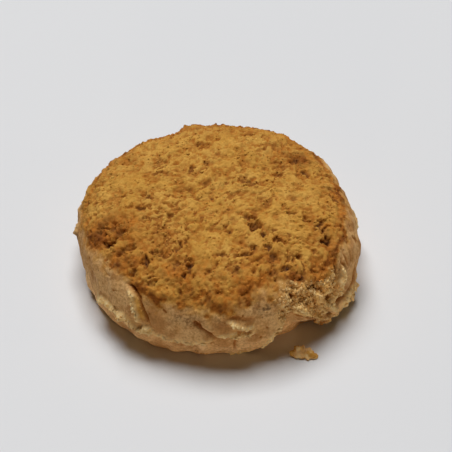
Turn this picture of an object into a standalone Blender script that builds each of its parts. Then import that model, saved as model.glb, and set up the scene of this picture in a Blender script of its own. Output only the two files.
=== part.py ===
"""A round coconut mantecado, a thick crumbly shortbread biscuit, as one solid that rests on its flat base.

The dough was rolled into a ball, pressed into a puck and baked. It has a slightly domed top crust with
pits, a pale side where the pressed dough folded over itself in flaps and creases, and one broken-out
corner, at the front right, towards +X and -Y. Metres, +Z up. The origin is the middle of the base.
"""

import math

import bmesh
import bpy
from mathutils import Vector, noise

MM = 0.001

# Driving dimensions of the puck.
RADIUS = 25.5 * MM
THICKNESS = 17.5 * MM
BELLY_HEIGHT = 6.5 * MM  # where the side is widest
UNDER_REACH = 12.0 * MM  # how deep the puck would go below its belly, had the tray not cut it flat
SQUARENESS = 3.0  # 2 is an ellipsoid, and higher values give a flatter top and a straighter side
FACE_CELLS = 35  # cells along each edge of the cube that the puck is blown up from

# How far the rim, seen from above, stands off a true circle: angle in degrees from +X, and millimetres.
RIM_OUTLINE = [
    (-180, 0.0), (-158, -0.4), (-138, 0.0), (-124, 0.3), (-111, 0.4), (-99, 0.3), (-90, -0.1),
    (-80, -0.3), (-66, 0.2), (-52, 0.3), (-38, 0.2), (-21, 0.2), (-8, -0.3), (8, -1.1), (21, -1.5),
    (31, -0.7), (40, -0.1), (50, -0.4), (59, 0.4), (70, 0.6), (80, 0.4), (90, 0.2), (100, 0.6),
    (106, 0.5), (111, -0.8), (119, -0.8), (127, 0.3), (140, 0.1), (158, 0.5),
]

# How far the foot of the side spreads (+) or draws in (-): angle in degrees from +X, and millimetres.
FOOT_OUTLINE = [
    (-170, 0.0), (-150, 0.3), (-138, 0.4), (-127, 0.4), (-111, -0.3), (-102, -0.6), (-90, -1.1),
    (-78, -0.9), (-66, -0.4), (-50, 0.0), (0, 0.0), (60, 0.2), (120, -0.1),
]
FOOT_TOP = 6.0 * MM  # height at which the foot's spread has died away

# Folds in the side. Each is an edge that a flap of dough ends in: its path as (degrees, height in mm),
# then its lip and the drop beside it in mm. The flap lies on the left of the path, seen from outside.
FOLDS = {
    "hem_front_left": (
        [(-154, 5.2), (-147, 5.3), (-140, 5.7), (-134, 5.3), (-128, 5.3), (-122, 4.1), (-114, 4.7),
         (-108, 4.4), (-100, 4.6), (-91, 5.6)], 1.0, 0.8
    ),
    "tuck_front_left": ([(-117, 6.0), (-121, 7.2), (-123, 9.0), (-127, 11.2), (-132, 12.6)], 0.8, 1.0),
    "flake_front_top": ([(-76, 8.6), (-80, 7.8), (-84, 9.2), (-91, 9.8)], 0.6, 0.6),
    "flake_front_bottom": ([(-92, 6.7), (-86, 7.2), (-79, 6.5), (-74, 6.6)], 0.7, 0.6),
    "broken_edge_left": ([(-71, 2.0), (-66, 5.6), (-65, 8.0), (-60, 10.0), (-61, 13.0)], 0.5, 0.9),
    "hem_right": ([(-40, 3.0), (-35, 2.5), (-29, 1.6), (-20, 2.4), (-9, 4.2)], 1.2, 0.7),
    "tuck_right": ([(-24, 4.4), (-22, 7.0), (-19, 10.2)], 0.6, 0.9),
    "hem_back_right": ([(4, 5.8), (18, 4.6), (33, 5.2), (47, 4.1)], 0.8, 0.7),
    "tuck_back_right": ([(52, 5.5), (49, 8.0), (43, 10.0), (38, 11.8)], 0.7, 0.9),
    "hem_back": ([(66, 4.4), (80, 5.9), (95, 5.2), (108, 6.2)], 0.9, 0.7),
    "flake_back_top": ([(103, 9.2), (94, 9.9), (86, 9.3)], 0.6, 0.6),
    "tuck_back_left": ([(128, 4.8), (123, 7.3), (124, 9.6), (118, 11.8)], 0.8, 0.9),
    "hem_left": ([(138, 5.4), (153, 4.3), (166, 5.0), (176, 6.4)], 0.8, 0.7),
}
LIP_REACH = 2.6  # how far back from its edge a flap still stands proud, mm
DROP_REACH = 1.8
FOLD_END_FADE = 2.5  # length over which a fold dies away at its ends, mm
FOLD_EDGE = 0.8  # half the width over which a flap drops off, mm

# Creases in the top's edge and side: path as (degrees, height in mm), then depth and half width in mm.
CREASES = {
    "front": ([(-101, 10.4), (-96, 8.7), (-90, 7.4)], 0.7, 0.8),
    "right": ([(-36, 3.8), (-32, 4.6), (-25, 5.8), (-20, 9.0)], 0.9, 0.8),
    "back_right": ([(70, 10.6), (66, 8.2), (61, 7.0)], 0.7, 0.8),
    "left": ([(168, 10.2), (162, 8.6), (158, 7.2)], 0.7, 0.8),
}

# Pits in the crust: x and y in mm seen from above, then depth and radius in mm.
PITS = [
    (-21.0, -7.8, 1.2, 2.1), (-18.4, -9.6, 1.0, 1.7), (-13.1, -15.6, 1.3, 1.6), (-11.6, -13.6, 1.0, 1.5),
    (-5.5, -17.4, 1.0, 1.4), (-6.6, -19.4, 1.0, 1.3), (18.4, -9.4, 1.1, 1.4), (11.7, -17.1, 0.9, 1.4),
    (5.0, -6.6, 0.8, 1.4), (5.6, 2.6, 0.7, 1.6), (15.5, 9.0, 0.8, 1.7), (-1.5, 5.5, 0.6, 1.4),
    (-10.5, 1.5, 0.7, 1.5), (9.1, -15.0, 0.8, 1.3), (2.5, -19.2, 0.6, 1.3), (-3.5, 14.0, 0.6, 1.6),
]

# The broken corner, where a piece of the side has crumbled off: its middle, half size and depth.
BREAK_ANGLE, BREAK_HEIGHT = -46.0, 8.6
BREAK_HALF_ANGLE, BREAK_HALF_HEIGHT = 16.0, 6.4
BREAK_DEPTH = 1.1
BREAK_CRAG = 0.75  # height of the crags in the break, mm

# The hollow under the break, where the foot of the side is drawn in.
COVE_ANGLE, COVE_HEIGHT = -58.0, 0.5
COVE_HALF_ANGLE, COVE_HALF_HEIGHT = 17.0, 6.0
COVE_DEPTH = 2.4

# Unevenness of the whole surface: height in mm and size of its lumps in mm.
SWELL_HEIGHT, SWELL_SIZE = 0.35, 9.0
CRUMB_HEIGHT, CRUMB_SIZE = 0.22, 2.4
CRAG_SIZE = 1.7

CRUST_COLOUR = (0.40, 0.19, 0.04, 1.0)


def clear_scene():
    """Removes whatever the scene holds."""
    for thing in list(bpy.data.objects):
        bpy.data.objects.remove(thing, do_unlink=True)


def smooth(share):
    """0 below 0, 1 above 1, and an S curve between them."""
    share = min(max(share, 0.0), 1.0)
    return share * share * (3 - 2 * share)


def offset_at(outline, angle):
    """An outline's offset at an angle, in mm: a closed Catmull-Rom curve through its points."""
    count = len(outline)
    last = max((i for i in range(count) if outline[i][0] <= angle), default=count - 1)
    here, following = outline[last][0], outline[(last + 1) % count][0]
    t = ((angle - here) % 360) / ((following - here) % 360)
    p0, p1, p2, p3 = (outline[(last + k) % count][1] for k in (-1, 0, 1, 2))
    squared, cubed = 2 * p0 - 5 * p1 + 4 * p2 - p3, 3 * (p1 - p2) + p3 - p0
    return 0.5 * (2 * p1 + (p2 - p0) * t + squared * t**2 + cubed * t**3)


def blow_up(direction):
    """Where the plain puck's surface lies in a direction from its middle: a superellipsoid."""
    level = math.hypot(direction.x, direction.y)
    stretch = (level**SQUARENESS + abs(direction.z) ** SQUARENESS) ** (-1 / SQUARENESS)
    turn = math.atan2(direction.y, direction.x)
    angle = math.degrees(turn)
    half_height = THICKNESS - BELLY_HEIGHT if direction.z > 0 else UNDER_REACH
    height = BELLY_HEIGHT + half_height * stretch * direction.z
    radius = (RADIUS + offset_at(RIM_OUTLINE, angle) * MM) * stretch * level
    radius += offset_at(FOOT_OUTLINE, angle) * MM * level * smooth((FOOT_TOP - height) / FOOT_TOP)
    return Vector((radius * math.cos(turn), radius * math.sin(turn), height))


def unrolled(angle, height):
    """A place on the side as millimetres round it and up it."""
    return Vector((math.radians(angle) * RADIUS / MM, height))


def distance_to_path(place, path):
    """(distance to a path, + on its left, and distance along it from its nearer end), in mm."""
    points = [unrolled(*corner) for corner in path]
    length = sum((b - a).length for a, b in zip(points, points[1:]))
    best, travelled = None, 0.0
    for a, b in zip(points, points[1:]):
        run = b - a
        share = min(max((place - a).dot(run) / run.length_squared, 0.0), 1.0)
        away = place - (a + run * share)
        if best is None or away.length < abs(best[0]):
            side = 1.0 if run.x * away.y - run.y * away.x > 0 else -1.0
            along = travelled + share * run.length
            best = (side * away.length, min(along, length - along))
        travelled += run.length
    return best


def fold_relief(place):
    """Height that the folds add at a place on the side, in mm."""
    total = 0.0
    for path, lip, drop in FOLDS.values():
        away, from_end = distance_to_path(place, path)
        fade = smooth(0.35 + from_end / FOLD_END_FADE)
        flap = smooth(0.5 + 0.5 * away / FOLD_EDGE)
        proud = lip * math.exp(-abs(away) / LIP_REACH)
        below = -drop * math.exp(-abs(away) / DROP_REACH)
        total += fade * (flap * proud + (1 - flap) * below)
    return total


def crease_relief(place):
    """Depth of the creases at a place on the side, in mm, as a negative height."""
    total = 0.0
    for path, depth, half_width in CREASES.values():
        away, from_end = distance_to_path(place, path)
        total -= depth * smooth(0.3 + from_end / FOLD_END_FADE) * math.exp(-((away / half_width) ** 2))
    return total


def pit_relief(x, y):
    """Depth of the crust's pits at a place seen from above, in mm, as a negative height."""
    total = 0.0
    for pit_x, pit_y, depth, radius in PITS:
        total -= depth * math.exp(-((math.hypot(x - pit_x, y - pit_y) / radius) ** 2))
    return total


def patch(angle, height, middle, half_angle, half_height):
    """1 in the middle of an oval patch of the side, falling to 0 at its edge."""
    across = (angle - middle[0]) / half_angle
    upwards = (height - middle[1]) / half_height
    return smooth(1.6 * (1 - math.hypot(across, upwards)))


def relief(point):
    """Height of all folds, pits, breaks and lumps over the plain puck at one of its points, in metres."""
    x, y, height = point / MM
    angle = math.degrees(math.atan2(y, x))
    in_break = patch(angle, height, (BREAK_ANGLE, BREAK_HEIGHT), BREAK_HALF_ANGLE, BREAK_HALF_HEIGHT)
    in_cove = patch(angle, height, (COVE_ANGLE, COVE_HEIGHT), COVE_HALF_ANGLE, COVE_HALF_HEIGHT)
    on_top = smooth((height - 12.5) / 2.5)
    place = unrolled(angle, height)
    total = (1 - on_top) * (fold_relief(place) + crease_relief(place)) + on_top * pit_relief(x, y)
    total += SWELL_HEIGHT * noise.noise(point / MM / SWELL_SIZE)
    total += CRUMB_HEIGHT * noise.noise(point / MM / CRUMB_SIZE)
    total += in_break * (BREAK_CRAG * noise.noise(point / MM / CRAG_SIZE) - BREAK_DEPTH)
    total -= in_cove * COVE_DEPTH
    return total * MM


def puck_mesh():
    """A cube cut into cells, blown up, given its relief and cut flat where it lay on the tray."""
    bm = bmesh.new()
    bmesh.ops.create_cube(bm, size=2.0)
    bmesh.ops.subdivide_edges(bm, edges=bm.edges[:], cuts=FACE_CELLS - 1, use_grid_fill=True)
    for vert in bm.verts:
        even = Vector([math.tan(c * math.pi / 4) for c in vert.co])  # cells of like size once on the sphere
        vert.co = blow_up(even.normalized())
    bm.normal_update()
    heights = [relief(vert.co) for vert in bm.verts]
    for vert, height in zip(bm.verts, heights):
        vert.co += vert.normal * height
    everything = bm.verts[:] + bm.edges[:] + bm.faces[:]
    down = Vector((0, 0, -1))
    cut = bmesh.ops.bisect_plane(bm, geom=everything, plane_co=(0, 0, 0), plane_no=down, clear_outer=True)
    rim = [item for item in cut["geom_cut"] if isinstance(item, bmesh.types.BMEdge)]
    bmesh.ops.contextual_create(bm, geom=rim)
    centre_on_origin(bm)
    mesh = bpy.data.meshes.new("mantecado")
    bm.to_mesh(mesh)
    bm.free()
    return mesh


def centre_on_origin(bm):
    """Moves the puck level so that the middle of its base is the origin."""
    for axis in (0, 1):
        places = [vert.co[axis] for vert in bm.verts]
        middle = (min(places) + max(places)) / 2
        for vert in bm.verts:
            vert.co[axis] -= middle


def crust_material():
    """Baked, matt, golden brown."""
    material = bpy.data.materials.new("baked_crust")
    material.use_nodes = True
    shader = material.node_tree.nodes["Principled BSDF"]
    shader.inputs["Base Color"].default_value = CRUST_COLOUR
    shader.inputs["Roughness"].default_value = 0.85
    shader.inputs["Metallic"].default_value = 0.0
    return material


def build():
    """Makes the biscuit's one object in a collection named for it."""
    clear_scene()
    collection = bpy.data.collections.new("coconut_mantecado")
    bpy.context.scene.collection.children.link(collection)
    biscuit = bpy.data.objects.new("mantecado", puck_mesh())
    biscuit.data.materials.append(crust_material())
    biscuit.data.shade_smooth()
    biscuit.data.set_sharp_from_angle(angle=math.radians(60))
    collection.objects.link(biscuit)


build()
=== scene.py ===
"""A round coconut mantecado, dressed: granular browned crust, folded pale side, broken corner and crumbs."""

import math

import bpy
import numpy as np
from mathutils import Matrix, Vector


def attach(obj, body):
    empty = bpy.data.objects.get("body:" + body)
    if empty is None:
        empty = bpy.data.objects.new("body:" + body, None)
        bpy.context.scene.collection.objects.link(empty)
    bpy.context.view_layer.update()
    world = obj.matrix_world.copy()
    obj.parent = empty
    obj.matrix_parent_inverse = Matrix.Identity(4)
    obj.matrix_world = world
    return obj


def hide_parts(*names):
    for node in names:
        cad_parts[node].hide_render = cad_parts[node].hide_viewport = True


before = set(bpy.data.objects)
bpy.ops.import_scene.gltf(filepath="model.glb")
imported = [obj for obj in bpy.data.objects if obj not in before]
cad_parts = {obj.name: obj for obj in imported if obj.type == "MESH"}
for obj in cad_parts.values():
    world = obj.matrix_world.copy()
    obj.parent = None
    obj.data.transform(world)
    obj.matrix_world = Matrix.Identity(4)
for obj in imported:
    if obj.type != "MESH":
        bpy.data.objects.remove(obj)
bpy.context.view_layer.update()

# The biscuit. A ball of shortbread dough pressed to a puck by hand and baked on a tray: one piece, with a
# crumbly browned crust on top, a pale pressed side that folded over itself in flaps, and a broken corner.
# Its form is a superellipsoid cut flat below. Lengths here are millimetres, until the mesh is made.
MM = 0.001
RADIUS = 25.5
THICKNESS = 17.5
BELLY_HEIGHT = 6.5  # where it is widest
UNDER_REACH = 12.0  # how far the form would reach below that, if it weren't cut flat
SQUARENESS = 3.0  # power of the superellipse
TOP_CELLS = 184  # cells across the middle of the top, which is a square grid bent into a disc
TOP_REACH = 21.0  # where the top's grid ends and the side's rings begin
WIDENING = 24.0  # the outline still widens this far along itself, from the middle of the top
SIDE_RINGS = 82
BASE_RINGS = 4
BASE_ROUNDING = 0.7  # radius of the edge round the base

# How far the rim stands off a circle, and how far the foot spreads or draws in: degrees from +X, millimetres.
RIM_OUTLINE = np.array([
    (-180, 0.0), (-158, -0.4), (-138, 0.0), (-124, 0.3), (-111, 0.4), (-99, 0.3), (-90, -0.1),
    (-80, -0.3), (-66, 0.2), (-52, 0.3), (-38, 0.2), (-21, 0.2), (-8, -0.3), (8, -1.1), (21, -1.5),
    (31, -0.7), (40, -0.1), (50, -0.4), (59, 0.4), (70, 0.6), (80, 0.4), (90, 0.2), (100, 0.6),
    (106, 0.5), (111, -0.8), (119, -0.8), (127, 0.3), (140, 0.1), (158, 0.5),
])
FOOT_OUTLINE = np.array([
    (-170, 0.0), (-150, 0.3), (-138, 0.4), (-127, 0.4), (-111, -0.3), (-102, -0.6), (-90, -1.1),
    (-78, -0.9), (-66, -0.4), (-50, 0.0), (0, 0.0), (60, 0.2), (120, -0.1),
])
FOOT_TOP = 6.0
# Height at which the browned crust gives way to the pale side, round the biscuit: degrees, height.
CRUST_EDGE = np.array([
    (-178, 9.6), (-168, 10.4), (-160, 11.1), (-147, 11.7), (-133, 11.8), (-124, 11.3), (-116, 11.2),
    (-106, 11.6), (-97, 11.1), (-88, 11.3), (-80, 12.7), (-76, 13.3), (-67, 13.4), (-61, 13.2),
    (-48, 12.0), (-36, 12.2), (-27, 12.8), (-14, 12.9), (-3, 12.2), (15, 12.2), (40, 12.0), (70, 11.7),
    (100, 12.1), (130, 11.6), (155, 11.5), (170, 10.2),
])
CRUST_FADE = 1.8  # height over which the pale side turns into crust
CRUST_TOP, CRUST_TOP_FADE = 12.6, 1.2  # pits and cracks are cut above this height, and fade in over this much
# Folds: path as (degrees, height), lip, drop, half width of the edge, cream colour of the edge.
FOLDS = [
    ([(-153, 5.2), (-148.5, 4.8), (-144, 5.1), (-140, 5.7), (-135.5, 6.1), (-129, 6.0), (-125.5, 5.2),
      (-121, 4.3)], 0.4, 0.6, 0.2, 1.0),
    ([(-121, 4.4), (-113, 4.9), (-108, 4.5), (-100, 4.7), (-91, 5.6)], 0.45, 0.7, 0.2, 0.7),
    ([(-100, 9.8), (-97, 9.0), (-94, 7.9), (-90, 6.6)], 0.6, 0.6, 0.2, 0.3),
    ([(-86, 8.4), (-82, 7.6), (-79, 7.4), (-75, 7.8)], 0.3, 0.5, 0.2, 0.2),
    ([(-93, 6.5), (-87, 7.0), (-80, 6.3), (-74, 6.6)], 0.6, 0.6, 0.2, 0.9),
    ([(-74, 0.5), (-71, 1.9), (-68.5, 4.4), (-65, 6.8), (-62.5, 8.4), (-60.5, 10.0), (-59.5, 13.0)],
     0.45, 1.0, 0.25, 0.8),
    ([(-61, 9.3), (-57, 8.0), (-52.5, 6.4), (-48, 4.4), (-43, 2.4), (-39, 2.2)], 0.3, 0.8, 0.25, 0.3),
    ([(-41, 2.9), (-34.5, 1.3), (-31.5, 1.2), (-27, 1.4), (-24, 1.8), (-20, 2.8), (-13, 4.4)],
     0.8, 0.5, 0.25, 1.2),
    ([(2, 6.4), (8, 5.4), (14, 5.2), (20, 4.3), (27, 4.9), (33, 5.4), (39, 4.4), (47, 4.0)],
     0.7, 0.7, 0.3, 0.7),
    ([(52, 5.5), (49, 7.6), (43, 9.2), (38, 10.2)], 0.6, 0.9, 0.3, 0.6),
    ([(66, 4.4), (72, 5.5), (80, 6.0), (86, 5.2), (95, 5.1), (101, 6.2), (108, 6.3)], 0.8, 0.7, 0.3, 0.6),
    ([(103, 9.2), (94, 9.9), (86, 9.3)], 0.6, 0.6, 0.3, 0.9),
    ([(130, 5.0), (126, 6.6), (121, 8.6), (117, 11.0)], 0.5, 0.7, 0.3, 0.7),
    ([(138, 5.6), (146, 4.5), (153, 4.2), (160, 5.1), (166, 4.9), (171, 5.9), (176, 6.5)],
     0.7, 0.7, 0.3, 0.7),
]
LIP_REACH = 2.2  # how far behind its edge a flap stands proud
DROP_REACH = 1.4  # how far below the edge the side is drawn in
FOLD_OVERHANG = 0.4  # how far a flap's edge hangs over, as a share of its lip
FOLDS_TOP, FOLDS_FADE = 13.2, 2.0  # the folds and ridges fade out above this height, over this much
# Ridges (+) and creases (-): path as (degrees, height), height, half width, cream colour (- for golden).
RIDGES = [
    ([(-147.5, 5.2), (-144, 5.5), (-140, 6.1), (-135.5, 6.5), (-129, 6.4), (-125.5, 5.6), (-122, 4.7)],
     0.9, 0.3, 1.4),
    ([(-130.5, 11.6), (-127, 11.0), (-124.6, 9.6), (-122.4, 7.9), (-121, 6.4)], 0.9, 0.26, 1.2),
    ([(-127.8, 11.5), (-124.6, 10.7), (-122.2, 9.2), (-119.8, 7.5)], 0.1, 0.48, -0.9),
    ([(-132, 12.6), (-127.6, 12.0), (-123.8, 11.2), (-121, 9.6), (-118.6, 8.0), (-117.4, 7.0)],
     -1.3, 0.32, 0.0),
    ([(-100.5, 10.0), (-99, 9.4), (-97.5, 8.9)], -0.7, 0.5, 0.0),
    ([(-101, 10.1), (-98.5, 9.5), (-96, 8.5), (-93.5, 7.4), (-91, 6.4)], -1.2, 0.42, 0.0),
    ([(-96, 9.9), (-93, 9.0), (-90.5, 7.8)], 0.35, 0.6, 0.2),
    ([(-88, 9.8), (-85.5, 9.6), (-82.5, 8.9), (-80, 8.3), (-77.5, 8.4), (-75.5, 9.0)], 1.0, 0.28, 1.4),
    ([(-88, 10.5), (-84, 10.3), (-80.5, 9.8), (-76, 10.1)], -0.35, 0.35, 0.0),
    ([(-92, 6.9), (-89, 7.3), (-84, 6.9), (-79, 6.8), (-75, 7.4)], 0.35, 0.3, 1.0),
    ([(-30, 11.4), (-31, 10.2), (-33, 8.6), (-35, 7.0), (-38.5, 6.1), (-42.5, 6.2)], 1.0, 0.34, 1.4),
    ([(-19, 8.2), (-22, 6.4), (-25, 4.9), (-28.5, 4.4), (-33, 4.5), (-37, 4.4)], -1.1, 0.4, 0.0),
    ([(-61.5, 13.3), (-62, 12.0), (-61, 10.3)], 0.5, 0.3, 1.4),
    ([(-56.5, 12.6), (-57.5, 11.6), (-55, 11.0)], 0.6, 0.35, 1.4),
    ([(-57.5, 10.3), (-55.5, 8.7), (-52.5, 7.4)], 0.8, 0.4, 1.4),
    ([(-46, 8.5), (-41.5, 5.7), (-36, 2.7)], 0.8, 0.4, 1.4),
    ([(-40, 1.1), (-37, 0.6), (-34, 0.3), (-28, 0.3), (-21, 0.8), (-15, 1.6)], -2.3, 0.7, 0.0),
    ([(-52, 12.7), (-48, 11.7), (-44, 9.9)], -1.1, 0.5, 0.0),
    ([(-50.5, 10.2), (-48.5, 8.0), (-48, 7.0)], -1.0, 0.45, 0.0),
    ([(-31, 13.2), (-34, 11.8), (-36, 9.8)], -0.7, 0.4, 0.0),
    ([(-26, 13.0), (-27, 11.4), (-26, 9.8)], -0.5, 0.4, 0.0),
    ([(-83, 6.2), (-84, 4.2), (-84, 2.0)], -0.5, 0.32, 0.0),
    ([(-88, 0.7), (-82, 0.5), (-76, 0.9)], 0.35, 0.3, 0.9),
    ([(-110, 3.9), (-105, 3.6), (-101, 3.8)], -0.3, 0.25, 0.0),
    ([(-36, 12.4), (-37.5, 11.2), (-38.5, 9.8)], 0.5, 0.3, 1.2),
    ([(-28, 12.6), (-29.5, 11.6), (-28.5, 10.0)], -0.6, 0.3, 0.0),
    ([(-22, 12.0), (-23.5, 10.6), (-23, 9.4)], -0.4, 0.3, 0.0),
    ([(6, 5.9), (13, 5.6), (19, 4.8)], 0.7, 0.3, 1.3),
    ([(30, 5.5), (35, 5.4), (38, 4.9)], 0.5, 0.3, 1.0),
    ([(71, 5.6), (78, 6.3), (83, 5.9)], 0.8, 0.3, 1.3),
    ([(98, 6.0), (103, 6.6), (107, 6.6)], 0.5, 0.3, 1.0),
    ([(148, 4.7), (154, 4.6), (160, 5.5), (163, 5.4)], 0.8, 0.3, 1.3),
    ([(128, 6.0), (124.5, 7.6), (121, 9.6)], 0.3, 0.4, 0.8),
    ([(12, 8.6), (8, 7.6), (3, 7.2)], 0.4, 0.4, 0.6),
    ([(160, 8.4), (165, 7.9), (170, 8.3)], 0.4, 0.4, 0.6),
    ([(84, 2.6), (90, 2.1), (96, 2.4)], -0.4, 0.3, 0.0),
    ([(30, 2.5), (24, 2.0), (18, 2.3)], -0.4, 0.3, 0.0),
    ([(70, 10.6), (66, 8.2), (61, 7.0)], -0.7, 0.5, 0.0),
    ([(168, 10.2), (162, 8.6), (158, 7.2)], -0.7, 0.5, 0.0),
    ([(20, 10.8), (26, 8.9), (24, 7.4)], -0.6, 0.5, 0.0),
    ([(145, 9.8), (150, 8.2), (148, 7.0)], -0.6, 0.5, 0.0),
]
# Small bumps of the side: degrees, height, half width in degrees, half height, how proud, cream colour.
BUMPS = [
    (-179, 8.6, 3.0, 1.3, 0.6, 0.3), (-118.8, 6.0, 3.4, 1.2, 1.2, 1.6), (-121.5, 5.1, 2.8, 0.9, 0.7, 1.4),
    (-130, 6.6, 3.4, 0.8, 0.4, 0.9), (-143, 5.9, 3.0, 0.7, 0.25, 0.8), (-27, 3.0, 9.5, 2.2, 0.7, 1.0),
    (-57, 9.4, 3.2, 1.2, 0.4, 1.0), (-44, 5.9, 3.2, 1.2, 0.8, 0.9), (-45, 3.6, 3.6, 1.6, 0.7, 0.2),
    (-63, 11.2, 2.2, 1.8, 0.15, 0.7), (-39, 5.0, 3.0, 1.2, 0.6, 1.0), (-76, 0.9, 3.5, 0.8, 0.4, 0.3),
]
# Greyish speckled smudges below the crust's edge: degrees, height, half width in degrees, half height,
# strength.
SMUDGES = [
    (-176, 8.6, 4.0, 1.6, 0.9), (-71, 11.6, 8.0, 2.2, 0.8), (-34, 10.6, 6.0, 3.0, 0.8),
    (-104, 10.0, 10.0, 1.8, 0.6), (-125, 12.2, 6.0, 1.4, 0.7), (-90, 11.0, 6.0, 1.4, 0.5),
    (-50, 11.8, 6.0, 1.6, 0.6), (20, 10.6, 9.0, 2.0, 0.6), (62, 10.8, 8.0, 2.0, 0.6),
    (104, 10.6, 9.0, 2.0, 0.6), (146, 10.2, 8.0, 2.0, 0.6),
]
# The crumb's grains, and the openings between them: sizes of their lattices, widths and depths.
FINE_GRAIN, MID_GRAIN, CORNER_GRAIN = 0.6, 1.4, 0.65
HOLE_SPACING, HOLE_DEPTH, POCK_DEPTH = 1.7, 0.34, 0.25
OPENING_WIDTH, OPENING_DEPTH, GAP_DEPTH = 0.36, 0.34, 0.19
# Pits and burnt hollows in the crust: x, y, half size across, half size in depth, how deep, how dark.
PITS = [
    (14.2, 11.3, 1.3, 1.1, 0.7, 0.75), (15.6, 7.6, 0.7, 0.7, 0.7, 1.0), (20.9, 1.6, 0.7, 0.7, 0.5, 0.8),
    (-4.9, 6.0, 0.7, 0.8, 0.8, 0.7), (-2.5, 7.9, 0.5, 0.5, 0.3, 0.4), (-9.6, 5.1, 0.5, 0.4, 0.4, 0.4),
    (-8.9, 4.4, 0.4, 0.3, 0.4, 0.4), (-19.2, 7.2, 0.5, 0.4, 0.4, 0.3), (-1.2, 0.6, 0.5, 0.7, 0.6, 0.7),
    (-1.2, -1.2, 0.5, 0.5, 0.6, 0.8), (4.4, 3.4, 0.9, 0.8, 0.6, 0.5), (5.7, 2.8, 0.8, 0.7, 0.6, 0.5),
    (7.1, 2.7, 0.6, 0.5, 0.4, 0.3), (10.4, 5.9, 1.1, 0.6, 0.6, 0.5), (8.1, 7.3, 0.5, 0.5, 0.3, 0.3),
    (-13.8, 0.2, 0.5, 0.4, 0.5, 0.6), (-12.7, -0.9, 0.8, 0.5, 0.6, 0.6), (-9.6, -0.8, 0.5, 0.4, 0.6, 0.6),
    (-8.2, -0.9, 0.4, 0.3, 0.4, 0.5), (-7.4, 0.2, 0.4, 0.4, 0.4, 0.4), (-18.2, -1.0, 0.6, 0.4, 0.5, 0.5),
    (-13.3, -5.9, 1.0, 0.4, 0.8, 0.7), (-8.8, -5.5, 0.7, 0.4, 0.6, 0.4),
    (-7.6, -4.7, 0.4, 0.4, 0.5, 0.5), (-4.4, -5.3, 0.4, 0.5, 0.5, 0.6), (-3.0, -6.5, 0.5, 0.6, 0.5, 0.5),
    (-0.3, -5.2, 0.5, 0.4, 0.5, 0.4), (1.7, -4.7, 0.5, 0.4, 0.4, 0.4), (5.0, -6.2, 1.0, 0.5, 0.9, 0.8),
    (6.0, -8.3, 1.1, 0.6, 1.0, 0.7), (1.8, -7.0, 0.7, 0.3, 0.5, 0.4), (1.0, -8.5, 0.7, 0.6, 0.6, 0.6),
    (-12.5, -7.8, 0.6, 0.3, 0.5, 0.4), (-6.6, -8.3, 0.5, 0.3, 0.5, 0.4), (10.1, -1.0, 0.5, 0.5, 0.4, 0.5),
    (13.0, -1.5, 0.8, 0.4, 0.6, 0.6), (15.2, -5.7, 0.8, 0.5, 0.7, 0.6), (12.9, -4.6, 0.6, 0.4, 0.5, 0.4),
    (8.0, -10.2, 0.4, 0.8, 0.8, 1.0), (12.3, -10.7, 0.4, 0.5, 0.5, 0.6), (10.6, -12.0, 1.2, 0.4, 0.7, 0.5),
    (18.0, -7.3, 0.7, 1.1, 0.8, 0.9), (18.7, -9.7, 0.9, 0.8, 1.0, 1.0), (8.7, -13.2, 0.5, 0.9, 0.8, 0.8),
    (9.5, -15.2, 0.9, 0.9, 0.6, 0.9),
    (11.7, -17.0, 0.9, 0.8, 0.7, 1.0), (14.6, -15.9, 0.5, 0.5, 0.2, 0.8), (14.3, -18.0, 0.6, 0.8, 0.2, 1.0),
    (13.5, -14.2, 0.8, 0.5, 0.6, 0.5), (12.3, -15.0, 0.6, 0.5, 0.5, 0.5), (2.6, -18.8, 0.8, 0.6, 0.3, 0.7),
    (4.8, -15.7, 0.5, 0.4, 0.3, 0.5), (9.6, -18.4, 0.7, 0.6, 0.5, 0.6), (-5.2, -17.4, 0.9, 0.9, 0.9, 1.0),
    (-7.4, -17.1, 0.6, 0.8, 0.8, 0.6), (-6.1, -19.2, 1.1, 0.5, 1.2, 1.0), (-11.5, -14.0, 0.7, 0.7, 1.1, 1.0),
    (-9.9, -14.4, 0.9, 0.7, 1.0, 0.7), (-13.1, -15.7, 0.7, 0.8, 1.2, 1.0), (-17.5, -8.6, 0.9, 0.8, 0.9, 0.8),
    (-19.6, -9.8, 1.2, 0.6, 1.3, 1.0), (-21.4, -6.9, 0.9, 0.7, 0.7, 0.8), (-19.1, -7.0, 1.5, 0.8, 0.9, 0.6),
    (-15.0, -17.0, 0.8, 0.6, 0.8, 0.7), (-12.0, -19.3, 0.7, 0.6, 0.7, 0.5), (-7.0, -22.2, 0.5, 0.5, 0.3, 0.7),
    (-5.1, -22.2, 0.4, 0.4, 0.3, 0.8), (-16.5, -12.5, 1.6, 0.7, 0.7, 0.4), (-3.5, 14.0, 0.8, 0.6, 0.5, 0.3),
    (-10.0, 11.5, 0.6, 0.5, 0.4, 0.3), (4.0, 17.5, 0.7, 0.5, 0.4, 0.3), (11.0, 15.5, 0.6, 0.5, 0.4, 0.3),
]
PIT_STRETCH = 1.35  # the pits run this much longer from front to back than their half size says
PIT_DEPTH = 0.75  # share of the listed depth
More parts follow.
